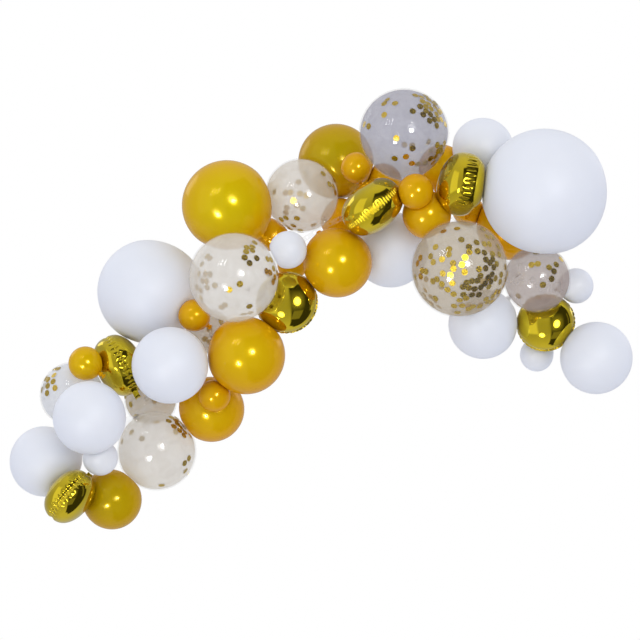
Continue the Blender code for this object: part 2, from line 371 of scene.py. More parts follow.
# pearl-dyed rubber whose mica gives broad golden highlights under a faint gloss, in three copies that paint
# light and shade: lemon lighter and greener, amber warmer, olive darker, each with an orange rim of painted
# edge shade
LEMON_LATEX = replace(
    WHITE_LATEX, name="natural_latex_pearl_lemon", body="d6bd0a", cloud="cfb308", dense="e0a604",
    deep_and_shaded_rim="d8a40a", roughness=(0.18, 0.22),
    plain={"IOR": 1.52, "Metallic": 0.1, "Specular IOR Level": 0.1, "Specular Tint": linear("ffd860"),
           "Coat Weight": 0.22, "Coat Roughness": 0.075})
AMBER_LATEX = replace(LEMON_LATEX, name="natural_latex_pearl_amber", body="dab60a", cloud="d4ac08",
                      dense="e09c04", deep_and_shaded_rim="d4940a")
OLIVE_LATEX = replace(LEMON_LATEX, name="natural_latex_pearl_olive", body="b8a20a", cloud="b09808",
                      dense="cc9604", deep_and_shaded_rim="c0920a")
# the smooth outside of undyed crystal latex: see-through, a little smoky, with a wet gloss; a skin this thin
# shows its highlights as hard and bright as a bubble's, which the high IOR stands for
CLEAR_LATEX = Finish(
    "crystal_clear_latex", "8a878a", "a3a09e", Grain(55.0, 4.0, 0.6, 0.6, 0.35, 0.75),
    Grain(55.0, 4.0, 0.6, 0.6), (0.035, 0.08),
    {"IOR": 1.7, "Specular IOR Level": 1.0, "Coat Weight": 1.0, "Coat Roughness": 0.03, "Alpha": 0.14})
# the inside of a clear skin: milky from the dip and the dusting powder, and quite matt; the powder's specks
# are drawn coarser than they are
PALE_HAZE = Finish(
    "latex_haze_pale", "e9e4da", "dcd5c8", Grain(45.0, 4.0, 0.6, 0.6, 0.35, 0.7), Grain(3.0), (0.6, 0.9),
    {"Specular IOR Level": 0.2, "Alpha": 0.5})
# copies of the same haze that paint the light and shade round their balloons: the cool one is painted bluer
# light off white neighbours, the warm one painted warm shade from gold behind, the dusky one painted shade
COOL_LIGHT_HAZE = replace(PALE_HAZE, name="latex_haze_cool_light", body="e4e7ee", cloud="d9dce4")
WARM_SHADE_HAZE = replace(PALE_HAZE, name="latex_haze_warm_shade", body="c2b294", cloud="b3a180")
LILAC_HAZE = replace(PALE_HAZE, name="latex_haze_lilac", body="9696a8", cloud="a9a8b8")
DUSKY_SHADE_HAZE = replace(PALE_HAZE, name="latex_haze_dusky_shade", body="a6958c", cloud="b2a196")
# polyester film with vacuum-laid aluminium under a yellow lacquer: a bright, faintly rippled gold mirror with
# fine scuffs, whose clear top keeps the brightest highlights nearly white
GOLD_FILM = Finish(
    "metallised_polyester_gold", "dac426", "ceb41c", Grain(40.0), Grain(4.0, 3.0, low=0.4, high=0.8),
    (0.056, 0.136), {"Metallic": 1.0, "Coat Weight": 0.3, "Coat Roughness": 0.04},
    Grain(40.0), 0.25, 1 * MILLIMETRE)
# the same film punched into dots, handled and duller
CONFETTI_FILM = replace(
    GOLD_FILM, name="metallised_confetti_gold", body="d9bd28", cloud="b08c14", clouds=Grain(14.0),
    roughness=(0.21, 0.51), relief=Grain(14.0), relief_strength=0.2)
# extruded clear PVC: glossy, with a faint blue-grey body and fine die lines
CLEAR_TAPE = Finish("clear_pvc_tape", "d9dde2", "d9dde2", Grain(1.5), Grain(1.5), (0.096, 0.24),
                    {"Alpha": 0.08})
STUDIO_PAPER = PaperSweep("matt_studio_paper", "f4f3f1", "efeeec", Grain(30.0), Grain(30.0), (0.9, 0.9), {})


# ---------------------------------------------------------------- reading the frame

def node_points(node: str) -> np.ndarray:
    """Read the corners of a frame node's solid.

    Args:
        node: The node's name.

    Returns:
        One row for each corner, each once.
    """
    mesh = frame["nodes"][node].data
    flat = np.empty(len(mesh.vertices) * 3)
    mesh.vertices.foreach_get("co", flat)
    return np.unique(flat.reshape(-1, 3).round(5), axis=0)


def circle_fit(points: np.ndarray, inner: float, tries: int = 12000) -> tuple[np.ndarray, float]:
    """Find the circle that the most points of a seam lie on, by trying the ones through three chosen points.

    Args:
        points: One row for each point of the seam, its two places in the seam's plane.
        inner: How far inside the seam's edge its inner corners lie.
        tries: How many circles are tried.

    Returns:
        The centre and radius of the seam's outer edge.
    """
    picks = np.random.default_rng(5).integers(0, len(points), (tries, 3))
    rows = np.concatenate([2 * points[picks], np.ones((tries, 3, 1))], axis=2)
    values = (points[picks] ** 2).sum(2)
    sound = np.abs(np.linalg.det(rows)) > TINY
    answers = np.linalg.solve(rows[sound], values[sound][..., None])[..., 0]
    centres, radii = answers[:, :2], np.sqrt(answers[:, 2] + (answers[:, :2] ** 2).sum(1))
    apart = np.linalg.norm(points[None] - centres[:, None], axis=2)
    best = (0, centres[0], 0.0)
    for wide in (radii, radii + inner):
        off = np.minimum(np.abs(apart - wide[:, None]), np.abs(apart - wide[:, None] + inner))
        count = (off < CLOSE).sum(1)
        pick = count.argmax()
        best = max(best, (count[pick], centres[pick], wide[pick]), key=lambda found: found[0])
    return best[1], float(best[2])


def egg_fit(along: np.ndarray, across: np.ndarray, sides: int) -> tuple[float, float]:
    """Find the ball that a latex solid's crown half was turned from, where no neighbour has pressed it.

    Every pair of points gives a ball centred on the axis. The one wanted has the most points on it, and none
    of the crown half outside it.

    Args:
        along: Each point's place on the axis, measured from the crown to the knot.
        across: Each point's distance from the axis.
        sides: How many flat sides the solid was turned with, which widens its rings a little.

    Returns:
        The centre's place on the axis, and the radius.
    """
    first, second = np.triu_indices(len(along), 1)
    sound = np.abs(along[first] - along[second]) > 2 * MILLIMETRE
    first, second = first[sound], second[sound]
    bulk = along ** 2 + across ** 2 * sides * math.sin(2 * math.pi / sides) / (2 * math.pi)
    middle = (bulk[first] - bulk[second]) / (2 * (along[first] - along[second]))
    radius = np.sqrt(np.maximum(bulk[first] - 2 * middle * along[first] + middle ** 2, 0.0))
    squares = bulk - 2 * middle[:, None] * along + middle[:, None] ** 2
    beyond = np.where(along < middle[:, None], np.sqrt(np.maximum(squares, 0.0)) - radius[:, None], -1.0)
    count = (np.abs(beyond) < CLOSE).sum(1) * (beyond < CLOSE).all(1) * (radius < along.max() / EGG_LENGTH)
    return float(middle[count.argmax()]), float(radius[count.argmax()])


def unit(vector: np.ndarray) -> np.ndarray:
    """A vector made one long."""
    return vector / np.linalg.norm(vector)


@dataclass
class Seat:
    """Where one balloon sits: its centre, half width, and where its neck or tab and its face point."""

    centre: Vector
    radius: float
    lean: Vector
    tip: float
    face: Vector | None = None

    PLUMPNESS = 0.74
    SEAM = 8 * MILLIMETRE
    # how near to a foil's middle plane a corner counts as its seam's, in rounds of closer looks
    SEAM_BANDS = (18 * MILLIMETRE, 9 * MILLIMETRE, 3 * MILLIMETRE)
    # from the end of a solid's knot to the corners of its widest ring, and a little over
    KNOT_REACH = 10.5 * MILLIMETRE
    # the solids' flat-sided rings enclose as much as a circle that is this share of their corners' radius
    RIM_SHARE = 0.98717

    def reach(self, heading: Vector) -> float:
        """Measure the unpressed skin.

        Args:
            heading: A unit vector from the centre.

        Returns:
            How far the skin is from the centre that way.
        """
        if self.face is None:
            return self.radius
        along = self.face.dot(heading) ** 2
        return self.radius * math.sqrt(1 - along + along * self.PLUMPNESS ** 2)

    @classmethod
    def of_latex(cls, node: str) -> "Seat":
        """Read a latex balloon's seat from its solid, an egg with its knot at the narrow end.

        Args:
            node: The balloon's node in the frame.

        Returns:
            Its seat.
        """
        points = node_points(node)
        crowded = (np.linalg.norm(points[None] - points[:, None], axis=2) < cls.KNOT_REACH).sum(1)
        outlying = np.linalg.norm(points - points.mean(0), axis=1) * (crowded > crowded.max() / 2)
        knot = points[outlying.argmax()]
        from_knot = np.linalg.norm(points - knot, axis=1)
        inward = unit(points[from_knot < cls.KNOT_REACH].mean(0) - knot)
        past_neck = points[from_knot > 3 * cls.KNOT_REACH]
        aside = np.linalg.norm(np.cross(past_neck - knot, inward), axis=1)
        crown = past_neck[aside.argmin()]
        lean = unit(knot - crown)
        along = (points - crown) @ lean
        across = np.linalg.norm(points - crown - along[:, None] * lean, axis=1)
        middle, radius = egg_fit(along, across, int((from_knot < cls.KNOT_REACH).sum()) - 1)
        centre = crown + lean * middle
        return cls(Vector(centre), radius, Vector(lean), float(np.linalg.norm(knot - centre)))

    @classmethod
    def of_foil(cls, node: str) -> "Seat":
        """Read a foil balloon's seat from its solid, which is flat at the seam and has a tab.

        Args:
            node: The balloon's node in the frame.

        Returns:
            Its seat.
        """
        points = node_points(node)
        face = np.linalg.eigh(np.cov(points.T))[1][:, 0]
        level = np.median(points @ face)
        for band in cls.SEAM_BANDS:
            seam = points[np.abs(points @ face - level) < band]
            face = np.linalg.svd(seam - seam.mean(0))[2][2]
            level = np.median(seam @ face)
        right = unit(np.cross(face, (0.3, 0.5, 0.8)))
        up = np.cross(face, right)
        (x, z), size = circle_fit(np.c_[seam @ right, seam @ up], cls.SEAM / cls.RIM_SHARE)
        centre = right * x + up * z + face * level
        ends = seam - centre
        far = np.linalg.norm(ends, axis=1)
        tab = unit(ends[far > far.max() - 2 * MILLIMETRE].mean(0))
        return cls(Vector(centre), size * cls.RIM_SHARE, Vector(tab), float(far.max()), Vector(face))


class Crowd:
    """All the balloons' seats, and the flat patches where they press on each other."""

    GAP = 0.4 * MILLIMETRE
    NEAR = 90 * MILLIMETRE

    def __init__(self) -> None:
        """Read every balloon's seat from the frame, by the slot that the record gives its node."""
        self.seats: dict[str, Seat] = {}
        self.slots: dict[str, Slot] = {}
        for part in frame["record"]["subparts"]:
            node, slot = part["node"], Slot(part["material_slot"])
            if slot is Slot.STRIP:
                continue
            self.slots[node] = slot
            self.seats[node] = Seat.of_foil(node) if slot is Slot.FOIL else Seat.of_latex(node)

    def planes(self, node: str) -> list[Plane]:
        """Find the planes that bound one balloon.

        Args:
            node: The balloon's node.

        Returns:
            Each plane's unit vector out of the balloon and its distance from the centre.
        """
        own = self.seats[node]
        found = []
        for other, seat in self.seats.items():
            apart = seat.centre - own.centre
            if other == node or apart.length > own.radius + seat.radius + self.NEAR:
                continue
            toward = apart.normalized()
            pressed = own.reach(toward) + seat.reach(-toward) - apart.length
            share = seat.radius / (own.radius + seat.radius)
            found.append((toward, own.reach(toward) - pressed * share - self.GAP / 2))
        return found


def pressed_in(place: Vector, planes: list[Plane], ease: float) -> Vector:
    """Pull a point of a skin in to the planes round its balloon.

    Args:
        place: The point, from the balloon's centre.
        planes: The planes that bound the balloon.
        ease: How far ahead of a plane the skin starts to bend away.

    Returns:
        The point's new place, on the same ray.
    """
    distance = place.length
    heading = place / distance
    reach = distance
    for toward, limit in planes:
        facing = heading.dot(toward)
        if facing > LEAST_FACING:
            reach = soft_least(reach, limit / facing, ease)
    return heading * reach


# ---------------------------------------------------------------- latex balloons

@dataclass
class LatexBalloon:
    """One latex balloon: a tight egg-shaped skin, pleated at the neck, with its tied knot and rolled lip."""

    node: str
    seat: Seat
    planes: list[Plane]
    slot: Slot
    finish: Finish

    # the smallest skin's sides and rings, and what a skin gains with each metre of its radius
    sides: tuple[int, int] = (44, 180)
    rings: tuple[int, int] = (26, 120)
    lining_sides: int = 40
    taper: float = 0.06
    narrowing: float = 0.10
    ease: float = 6 * MILLIMETRE
    neck_radius: float = 4.5 * MILLIMETRE
    knot_radius: float = 7.5 * MILLIMETRE
    waist_radius: float = 2.6 * MILLIMETRE
    lip_radius: float = 7.0 * MILLIMETRE
    lip_roll: float = 1.2 * MILLIMETRE
    knot_drop: float = 9 * MILLIMETRE
    pleats: int = 11
    pleat_depth: float = 0.09
    pleat_span: float = 34 * MILLIMETRE
    # a balloon blown up this little keeps a thicker skin all over than one this full
    small_radius: float = 50 * MILLIMETRE
    full_radius: float = 130 * MILLIMETRE
    small_thickness: float = 0.4
    # the dusted inside of a clear skin is drawn this far in, so that the confetti clings between the two
    lining_depth: float = 4.5 * MILLIMETRE

    def body(self, radius: float) -> Profile:
        """The half outline of the egg-shaped body, from the crown to the shoulder.

        Args:
            radius: Half the body's width.

        Returns:
            The body's points, each a radius and a height.
        """
        rings = self.rings[0] + int(radius * self.rings[1])
        last = math.pi - math.asin(min(0.9, 2.6 * self.neck_radius / radius))
        points = [(0.0, radius)]
        for ring in range(1, rings + 1):
            angle = last * ring / rings
            low = max(0.0, angle / (math.pi / 2) - 1)
            points.append((radius * math.sin(angle) * (1 - self.narrowing * low * (1 - low)),
                           radius * math.cos(angle) * (1 + self.taper * low ** 2)))
        return points

    def knot(self, shoulder: tuple[float, float]) -> Profile:
        """The half outline of the neck, knot and lip.

        Args:
            shoulder: The last point of the body.

        Returns:
            The points after the shoulder, each a radius and a height.
        """
        tip = -self.seat.tip
        knot = tip + self.knot_drop
        neck_top = min(shoulder[1] - 2 * MILLIMETRE, knot + self.knot_drop * 0.8)
        way = ((self.neck_radius * 1.25, (shoulder[1] + neck_top) / 2),
               (self.neck_radius * 0.85, neck_top),
               (self.knot_radius, knot + 1.5 * MILLIMETRE),
               (self.knot_radius * 0.9, knot - 2 * MILLIMETRE),
               (self.waist_radius, knot - 5.5 * MILLIMETRE),
               (self.lip_radius, tip - 1 * MILLIMETRE),
               (self.lip_radius + self.lip_roll, tip - 2.2 * MILLIMETRE),
               (self.lip_radius, tip - 3.4 * MILLIMETRE),
               (self.lip_radius - self.lip_roll, tip - 2.2 * MILLIMETRE),
               (self.waist_radius * 0.6, tip + 1 * MILLIMETRE))
        line = smooth_line([Vector((*point, 0.0)) for point in (shoulder, *way)], 3)
        return [(point.x, point.y) for point in line[1:]] + [(0.0, tip + 1.6 * MILLIMETRE)]

    def seated(self, mesh: Mesh, planes: list[Plane]) -> Mesh:
        """Turn an upright skin to the balloon's lean, press it and move it to its seat.

        Args:
            mesh: The skin, its crown up and its centre at the origin.
            planes: The planes that press it.

        Returns:
            The same mesh.
        """
        upright = Vector((0.0, 0.0, -1.0)).rotation_difference(self.seat.lean).to_matrix()
        bmesh.ops.rotate(mesh, verts=mesh.verts, matrix=upright)
        for vert in mesh.verts:
            vert.co = pressed_in(vert.co, planes, self.ease) + self.seat.centre
        return mesh

    def skin(self) -> Mesh:
        """Build the skin in place, pressed by its neighbours, with its thickness as an attribute.

        Returns:
            The skin's mesh.
        """
        radius = self.seat.radius
        body = self.body(radius)
        mesh = turned(body + self.knot(body[-1]), self.sides[0] + int(radius * self.sides[1]))
        least = self.small_thickness * (1 - smooth_step(self.small_radius, self.full_radius, radius))
        thickness = mesh.verts.layers.float.new("thickness")
        mouth = -self.seat.tip
        for vert in mesh.verts:
            from_mouth = vert.co.z - mouth
            fold = 1 - smooth_step(0.0, self.pleat_span, from_mouth - self.knot_drop)
            spin = math.atan2(vert.co.y, vert.co.x)
            wave = math.cos(self.pleats * spin + 0.6 * math.sin(3 * spin) + from_mouth * 60)
            scale = 1 + self.pleat_depth * fold * wave
            vert.co.x *= scale
            vert.co.y *= scale
            near_knot = 1 - smooth_step(0.0, radius * 0.75, from_mouth - self.knot_drop)
            vert[thickness] = least + (1 - least) * near_knot ** 2
        return self.seated(mesh, self.planes)

    def lining(self) -> Mesh:
        """Build the dusted inside of a clear skin, in place.

        Returns:
            The lining's mesh.
        """
        outline = self.body(self.seat.radius - self.lining_depth)
        closed = outline + [(0.0, outline[-1][1] - self.neck_radius)]
        inner = [(toward, limit - self.lining_depth) for toward, limit in self.planes]
        return self.seated(turned(closed, self.lining_sides), inner)

    def dress(self, haze: Finish | None) -> None:
        """Make the balloon's piece in place of its solid, and a clear one's lining.

        Args:
            haze: The lining's finish, or None for a balloon that isn't clear.
        """
        skin = make_piece(self.skin(), f"{self.node}_skin", self.finish, self.slot, self.node)
        if haze is not None:
            # a clear skin is far too thin to shade what is inside or behind it
            for layer in (skin, make_piece(self.lining(), f"{self.node}_lining", haze, self.slot)):
                layer.visible_shadow = layer.visible_diffuse = False


# ---------------------------------------------------------------- foil balloons

@dataclass(frozen=True)
class SeamStyle:
    """How one foil balloon's seam has drawn up: its folds, and the fine crimps across it, in millimetres."""

    band: float
    fold_depth: float
    crimps: int
    crimp_height: float
    puckers: int = 38
    sway: float = 0.0
    groove: float = 0.0
    slant: float = 0.0
    # how far the weld's flat lip stands out; on most of these balloons it has folded down flat
    lip: float = 0.0

    def in_metres(self) -> "SeamStyle":
        """The same seam with its lengths in metres."""
        lengths = ("band", "fold_depth", "crimp_height", "sway", "groove", "lip")
        return replace(self, **{name: getattr(self, name) * MILLIMETRE for name in lengths})


@dataclass
class FoilBalloon:
    """One round foil balloon: two welded discs of film, puckered at the seam, with a filling tab."""

    node: str
    seat: Seat
    planes: list[Plane]
    finish: Finish
    style: SeamStyle
    seed: int

    seam_thickness: float = 0.7 * MILLIMETRE
    fullness: float = 0.8
    face_rings: int = 15
    side_rings: int = 12
    face_angle: float = math.radians(74)
    least_steps: int = 620
    crimp_steps: int = 12
    tab_width: float = 24 * MILLIMETRE
    tab_least: float = 4 * MILLIMETRE
    tab_stations: tuple[float, ...] = (0.2, 0.6, 1.0)
    tab_taper: float = 0.92
    ease: float = 3 * MILLIMETRE

    def profile(self) -> Profile:
        """Draw the half outline, its last rings evenly spaced down to the seam.

        Returns:
            Points of a radius and a height, from pole to pole.
        """
        body = self.seat.radius - self.style.lip
        half = self.seam_thickness / 2
        height = body * Seat.PLUMPNESS - half
        angles = [self.face_angle * ring / self.face_rings for ring in range(self.face_rings + 1)]
        shoulder = math.cos(angles[-1]) ** self.fullness
        levels = [shoulder * (1 - ring / self.side_rings) for ring in range(1, self.side_rings + 1)]
        angles += [math.acos(level ** (1 / self.fullness)) for level in levels]
        upper = [(body * math.sin(angle), half + height * max(math.cos(angle), 0.0) ** self.fullness)
                 for angle in angles]
        if self.style.lip:
            upper += [(body + self.style.lip / 2, half), (self.seat.radius, half)]
        return upper + [(radius, -height) for radius, height in reversed(upper)]

    def pucker(self, spin: float) -> tuple[float, float]:
        """How the film folds at an angle round the seam.

        Args:
            spin: The angle, in radians from the tab.

        Returns:
            The fold's depth from 0 on a pillow to 1 in a crease, and the seam's sway from -1 to 1.
        """
        ring = Vector((math.cos(spin), math.sin(spin), self.seed * 3.7))
        # broad and fine shifts keep the puckers from standing at even steps, and some are left shallow
        warped = spin + 0.10 * noise.noise(ring * 2.3) + 0.03 * noise.noise(ring * 7.0)
        depth = 0.45 + 0.55 * smooth_step(-0.3, 0.4, noise.noise(ring * 4.1))
        phase = self.style.puckers * warped / 2
        crease = (1 - abs(math.sin(phase))) ** 1.6
        return crease * depth, math.sin(phase) * depth

    def skin(self) -> Mesh:
        """Build the two faces, the puckered seam and the tab, in place.

        Returns:
            The film's mesh.
        """
        style = self.style
        steps = style.crimps * max(self.crimp_steps, round(self.least_steps / style.crimps))
        mesh = turned(self.profile(), steps)
        self.add_tab(mesh)
        folds = {}
        for vert in mesh.verts:
            rise = abs(vert.co.z)
            if rise > style.band:
                continue
            spin = math.atan2(vert.co.y, vert.co.x)
            key = round(spin * steps / math.pi)
            if key not in folds:
                folds[key] = self.pucker(spin)
            crease, sway = folds[key]
            near = 1 - smooth_step(style.band * 0.35, style.band, rise)
            ribs = (style.crimps * spin + style.slant * vert.co.z / style.band) / (2 * math.pi)
            # each rib is a round pillow between two deep, narrow creases
            from_crest = abs(2 * (ribs % 1.0) - 1)
            crimp = 0.4 * from_crest ** 2 + 0.6 * from_crest ** 8
            groove = 1 - smooth_step(0.0, style.band * 0.5, rise)
            sink = near * (style.fold_depth * crease + style.crimp_height * crimp) + style.groove * groove
            pull = 1 - sink / self.seat.radius
            vert.co.x *= pull
            vert.co.y *= pull
            vert.co.z += style.sway * sway * near
        across = self.seat.face.cross(self.seat.lean)
        upright = Matrix((self.seat.lean, across, self.seat.face)).transposed()
        bmesh.ops.rotate(mesh, verts=mesh.verts, matrix=upright)
        for vert in mesh.verts:
            vert.co = pressed_in(vert.co, self.planes, self.ease) + self.seat.centre
        return mesh

    def add_tab(self, mesh: Mesh) -> None:
        """Draw the filling tab out of the seam's edge.

        Args:
            mesh: The balloon's mesh, with the tab's place at +X.
        """
        radius = self.seat.radius
        length = max(self.seat.tip - radius, self.tab_least)
        half = self.tab_width / 2
        middles = {face: face.calc_center_median() for face in mesh.faces}
        region = [face for face, middle in middles.items()
                  if middle.x > 0 and abs(middle.y) < half and middle.xy.length > radius * 0.998]
        for share in self.tab_stations:
            grown = bmesh.ops.extrude_face_region(mesh, geom=region)["geom"]
            bmesh.ops.delete(mesh, geom=region, context="FACES_ONLY")
            region = [part for part in grown if isinstance(part, bmesh.types.BMFace)]
            for vert in {vert for face in region for vert in face.verts}:
                vert.co.x = radius + length * share
                vert.co.y *= self.tab_taper

    def dress(self) -> None:
        """Make the balloon's piece in place of its solid."""
        make_piece(self.skin(), f"{self.node}_film", self.finish, Slot.FOIL, self.node)


SEAMS = {
    "foil_balloon_crown": SeamStyle(14, 0.3, 58, 3.6),
    "foil_balloon_right": SeamStyle(20, 1.5, 34, 2.4, puckers=32, sway=2.0, slant=1.2),
    "foil_balloon_centre": SeamStyle(12, 3.0, 84, 0.5, puckers=40, sway=1.0, lip=3),
    "foil_balloon_low_right": SeamStyle(12, 3.0, 84, 0.5, puckers=36, sway=1.0, lip=3),
    "foil_balloon_left": SeamStyle(18, 0.6, 30, 3.0, puckers=30, sway=1.5, groove=2.0),
    "foil_balloon_left_end": SeamStyle(22, 0.4, 30, 3.4, puckers=34, groove=3.5),
}


# ---------------------------------------------------------------- confetti

@dataclass(frozen=True)
class Drift:
    """A patch of confetti: how many dots, which way it lies from the centre, and how widely it spreads."""

    count: int
    heading: tuple[float, float, float]
    spread: float


@dataclass
class ConfettiFill:
    """The round foil dots that cling to the inside of one clear balloon."""

    node: str
    seat: Seat
    planes: list[Plane]
    finish: Finish
    drifts: tuple[Drift, ...]
    seed: int

    dot_radius: float = 10 * MILLIMETRE
    dot_thickness: float = 0.3 * MILLIMETRE
    # dots on the near side cling right under the clear skin, and those on the far side to its powdery lining
    near_depth: float = 1.2 * MILLIMETRE
    far_depth: float = 6.0 * MILLIMETRE
    spacing: float = 0.82
    tilt: float = 0.09
    tries: int = 30
    sides: int = 14
    look_aside: float = 0.05
    neck_clear: float = 0.80
    ease: float = 6 * MILLIMETRE

    def dots(self) -> list[Vector]:
        """Scatter the dots over the skin.

        Returns:
            A unit vector from the balloon's centre to each dot.
        """
        chance = random.Random(self.seed)
        least = self.spacing * 2 * self.dot_radius / self.seat.radius
        found: list[Vector] = []
        for drift in self.drifts:
            middle = Vector(drift.heading).normalized()
            placed = 0
            for _ in range(drift.count * self.tries):
                jitter = Vector([chance.gauss(0, drift.spread) for _ in range(3)])
                heading = (middle + jitter).normalized()
                if heading.dot(self.seat.lean) > self.neck_clear:
                    continue
                if all((heading - other).length > least for other in found):
                    found.append(heading)
                    placed += 1
                if placed == drift.count:
                    break
        return found

    def inside(self, heading: Vector, depth: float) -> Vector:
        """The point that lies a depth under the skin along a unit vector, from the centre."""
        planes = [(toward, limit - depth) for toward, limit in self.planes]
        return pressed_in(heading * (self.seat.radius - depth), planes, self.ease)

    def mesh(self) -> Mesh:
        """Build all the dots of the balloon as one mesh, in place.

        Returns:
            The dots' mesh.
        """
        chance = random.Random(self.seed + 1)
        mesh = bmesh.new()
        for heading in self.dots():
            side = heading.orthogonal().normalized() * self.look_aside
            other = heading.cross(side)
            depth = self.near_depth if heading.y < 0 else self.far_depth
            here = self.inside(heading, depth)
            slope = self.inside((heading + side).normalized(), depth) - here
            rise = self.inside((heading + other).normalized(), depth) - here
            out = slope.cross(rise).normalized()
            out *= math.copysign(1.0, out.dot(heading))
            lean = Vector([chance.uniform(-self.tilt, self.tilt) for _ in range(3)])
            turn = Vector((0.0, 0.0, 1.0)).rotation_difference((out + lean).normalized())
            dot_rise = self.dot_radius ** 2 / (2 * self.seat.radius) + self.dot_radius * self.tilt
            place = Matrix.Translation(self.seat.centre + here - out * dot_rise)
            bmesh.ops.create_cone(mesh, cap_ends=True, cap_tris=False, segments=self.sides,
                                  radius1=self.dot_radius, radius2=self.dot_radius,
                                  depth=self.dot_thickness, matrix=place @ turn.to_matrix().to_4x4())
        return mesh

    def dress(self) -> None:
        """Make the piece with all the balloon's confetti."""
        piece = make_piece(self.mesh(), f"confetti_in_{self.node}", self.finish, Slot.FOIL)
        piece.data.set_sharp_from_angle(angle=math.radians(30))


CONFETTI = {
    "confetti_balloon_top": (
        Drift(26, (0.58, -0.62, 0.5), 0.17), Drift(9, (0.8, -0.38, -0.45), 0.15),
        Drift(6, (0.1, -0.85, -0.52), 0.26), Drift(4, (-0.45, -0.62, 0.62), 0.15),
        Drift(2, (-0.8, -0.55, 0.22), 0.1), Drift(8, (0.25, 0.45, -0.75), 0.35),
    ),
    "confetti_balloon_front_right": (
        Drift(30, (0.1, -0.82, -0.5), 0.28), Drift(14, (0.5, -0.8, -0.2), 0.18),
        Drift(18, (0.25, -0.9, 0.15), 0.4), Drift(12, (-0.62, -0.76, 0.05), 0.22),
        Drift(8, (0.74, -0.6, -0.28), 0.2), Drift(5, (0.62, -0.62, 0.42), 0.16),
        Drift(14, (-0.62, 0.45, -0.58), 0.2), Drift(8, (0.25, 0.35, -0.88), 0.22),
    ),
    "confetti_balloon_mid_left": (
        Drift(8, (0.45, -0.7, 0.52), 0.13), Drift(8, (0.82, -0.48, 0.1), 0.16),
        Drift(2, (0.1, -0.95, -0.28), 0.1), Drift(1, (0.4, -0.68, -0.6), 0.05),
        Drift(13, (-0.66, 0.62, 0.0), 0.28), Drift(8, (0.1, 0.75, -0.6), 0.4),
    ),
    "confetti_balloon_centre": (
        Drift(5, (0.8, -0.5, 0.3), 0.2), Drift(18, (-0.1, 0.8, -0.2), 0.5),
        Drift(5, (-0.1, -0.6, -0.75), 0.3),
    ),
    "confetti_balloon_right": (
        Drift(8, (0.2, -0.9, 0.22), 0.2), Drift(5, (0.55, -0.35, 0.7), 0.3), Drift(4, (-0.3, 0.7, -0.2), 0.4),
    ),
    "confetti_balloon_left": (
        Drift(11, (-0.62, -0.5, 0.45), 0.3), Drift(4, (0.2, 0.8, 0.0), 0.5),
    ),
    "confetti_balloon_low_left": (
        Drift(14, (0.58, -0.42, 0.62), 0.2), Drift(5, (0.62, -0.3, -0.6), 0.26),
        Drift(5, (-0.5, 0.5, 0.5), 0.4),
    ),
    "confetti_balloon_back_mid": (
        Drift(5, (0.3, -0.8, -0.1), 0.4), Drift(4, (0.0, 0.8, 0.2), 0.5),
    ),
    "confetti_balloon_back_low": (
        Drift(9, (0.45, -0.7, 0.45), 0.28), Drift(5, (-0.4, -0.7, -0.2), 0.4),
        Drift(4, (0.0, 0.8, 0.2), 0.5),
    ),
}

LATEX_FINISHES = {Slot.WHITE: WHITE_LATEX, Slot.GOLD: AMBER_LATEX, Slot.CLEAR: CLEAR_LATEX}

# the gold balloons given the lighter lemon copy and the darker olive copy instead of the amber one: painted
# light and shade
GOLD_LIGHT_AND_SHADE = {
    "gold_balloon_top_left": LEMON_LATEX, "gold_balloon_top": OLIVE_LATEX,
    "gold_balloon_left_end": OLIVE_LATEX, "mini_gold_balloon_left": LEMON_LATEX,
}

# each clear balloon's lining; the cool, warm and dusky copies are painted light and shade
HAZES = {
    "confetti_balloon_top": LILAC_HAZE, "confetti_balloon_right": DUSKY_SHADE_HAZE,
    "confetti_balloon_front_right": WARM_SHADE_HAZE, "confetti_balloon_centre": PALE_HAZE,
    "confetti_balloon_left": COOL_LIGHT_HAZE, "confetti_balloon_mid_left": PALE_HAZE,
    "confetti_balloon_low_left": PALE_HAZE, "confetti_balloon_back_mid": WARM_SHADE_HAZE,
    "confetti_balloon_back_low": WARM_SHADE_HAZE,
}


# ---------------------------------------------------------------- the tape

